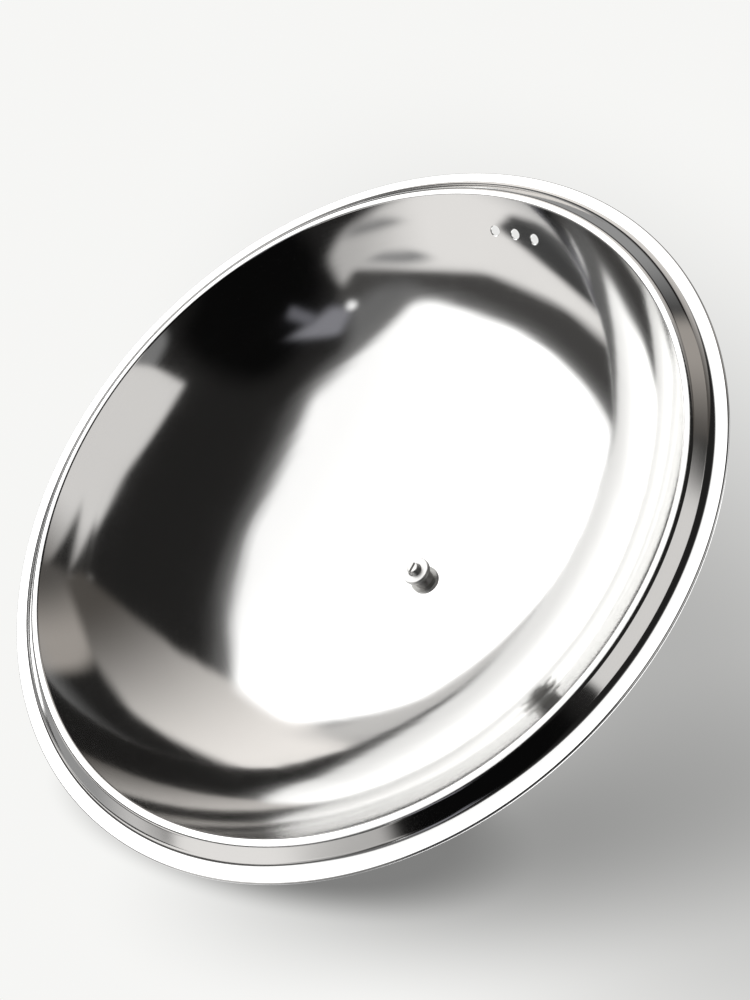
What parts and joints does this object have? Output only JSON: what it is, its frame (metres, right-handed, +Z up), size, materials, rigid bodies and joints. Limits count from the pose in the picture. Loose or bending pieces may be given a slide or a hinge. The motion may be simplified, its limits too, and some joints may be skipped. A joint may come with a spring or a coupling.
{
  "type": "domed pot lid",
  "caption": "Round domed lid in polished sheet steel with a stepped rim that drops into a pot's mouth, small steam vents and a screwed-on knob.",
  "frame": {"origin": "on the lid's axis, level with the crest of the locating ridge, which is the lid's lowest point", "axes": "+Z up along the lid's axis, from the pot towards the knob; the row of steam vents is at -X"},
  "size_m": [0.37, 0.37, 0.1159],
  "materials": {
    "polished_sheet": "mirror-polished stainless steel",
    "turned_steel": "turned and polished stainless steel",
    "threaded_steel": "rolled thread, plain stainless steel",
    "washer_rubber": "dark silicone rubber",
    "cup_steel": "polished stainless steel",
    "insert_brass": "turned brass",
    "knob_moulding": "black phenolic, satin gloss",
    "cap_steel": "spin-brushed stainless steel"
  },
  "bodies": {
    "root": {"lid_shell": "polished_sheet", "collar_nut": "turned_steel", "knob_stud": "threaded_steel", "seal_washer": "washer_rubber", "knob_cup": "cup_steel", "spring_washer": "threaded_steel", "knob_insert": "insert_brass", "knob_body": "knob_moulding", "knob_cap": "cap_steel"}
  },
  "joints": []
}
